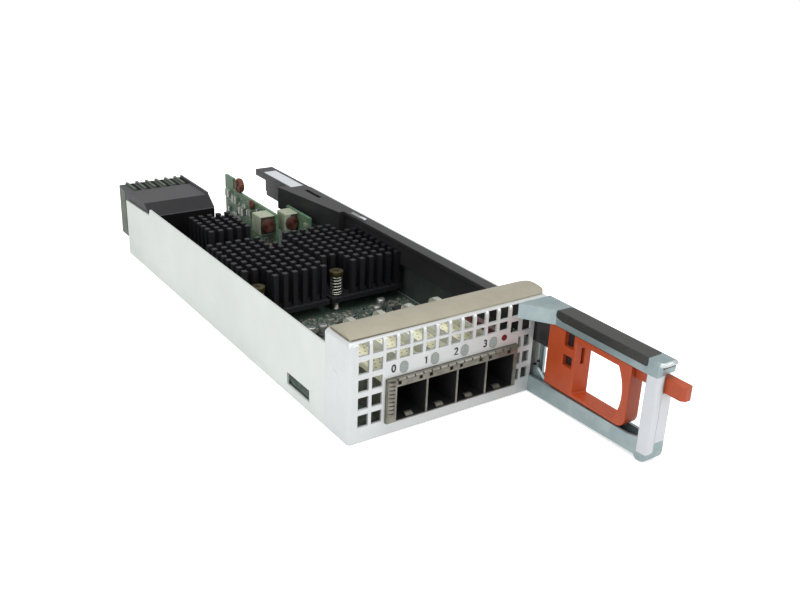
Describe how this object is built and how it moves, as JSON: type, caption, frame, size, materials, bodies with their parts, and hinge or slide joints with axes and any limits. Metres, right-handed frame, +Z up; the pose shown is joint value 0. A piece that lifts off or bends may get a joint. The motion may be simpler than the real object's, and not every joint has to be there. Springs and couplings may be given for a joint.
{
  "type": "sas adapter card",
  "caption": "Storage I/O module: circuit board with pin heat sinks in an open sheet-metal tray, perforated bezel with cable sockets, and a pull handle with a sliding latch trigger.",
  "frame": {"origin": "middle of the tray's width, on the bezel's front face and the tray's underside", "axes": "+X to the right across the tray seen from the front, +Y to the rear along the way the module slides in, +Z up"},
  "size_m": [0.0969, 0.3256, 0.044],
  "materials": {
    "tray_steel": "satin",
    "bezel_steel": "satin",
    "shielding_fabric": "matte",
    "board_green": "satin",
    "fastener_steel": "satin",
    "cage_metal": "satin",
    "can_tin": "satin",
    "lamp_white": "gloss",
    "black_anodised": "satin",
    "chip_black": "matte",
    "screw_brass": "satin",
    "spring_steel": "gloss",
    "connector_grey": "matte",
    "wafer_green": "satin",
    "rail_black": "satin",
    "card_green": "satin",
    "core_cream": "satin",
    "copper": "satin",
    "zinc_plate": "satin",
    "trigger_orange": "satin",
    "socket_black": "matte",
    "light_pipe_grey": "gloss",
    "fault_red": "gloss"
  },
  "bodies": {
    "module": {"board_capacitors": "can_tin", "board_chips": "chip_black", "board_leds": "lamp_white", "board_screws": "fastener_steel", "board_standoffs": "fastener_steel", "cage_spring_strip": "cage_metal", "chip_left": "chip_black", "chip_right": "chip_black", "chip_small": "chip_black", "circuit_board": "board_green", "connector_wafers": "wafer_green", "emi_gasket": "shielding_fabric", "fault_light_pipe": "fault_red", "front_bezel": "bezel_steel", "handle_bracket": "zinc_plate", "handle_rivets": "fastener_steel", "heat_sink_left": "black_anodised", "heat_sink_right": "black_anodised", "heat_sink_small": "black_anodised", "inductor_windings": "copper", "light_pipe_0": "light_pipe_grey", "light_pipe_1": "light_pipe_grey", "light_pipe_2": "light_pipe_grey", "light_pipe_3": "light_pipe_grey", "port_cage": "cage_metal", "port_receptacle_0": "socket_black", "port_receptacle_1": "socket_black", "port_receptacle_2": "socket_black", "port_receptacle_3": "socket_black", "power_card_left": "card_green", "power_card_right": "card_green", "power_inductors": "core_cream", "power_toroids": "copper", "rail_clip": "fastener_steel", "rear_connector": "connector_grey", "return_spring": "spring_steel", "side_rail": "rail_black", "sink_screws": "screw_brass", "sink_springs": "spring_steel", "tray": "tray_steel"},
    "trigger_group": {"trigger": "trigger_orange", "latch_bar": "rail_black"}
  },
  "joints": [
    {"name": "trigger_slide", "type": "slide", "parent": "module", "child": "trigger_group", "axis": [0, -1, 0], "range_m": [0, 0.005], "stiffness_N_per_m": 300, "springref_m": -0.005, "deforming": ["return_spring"]}
  ]
}
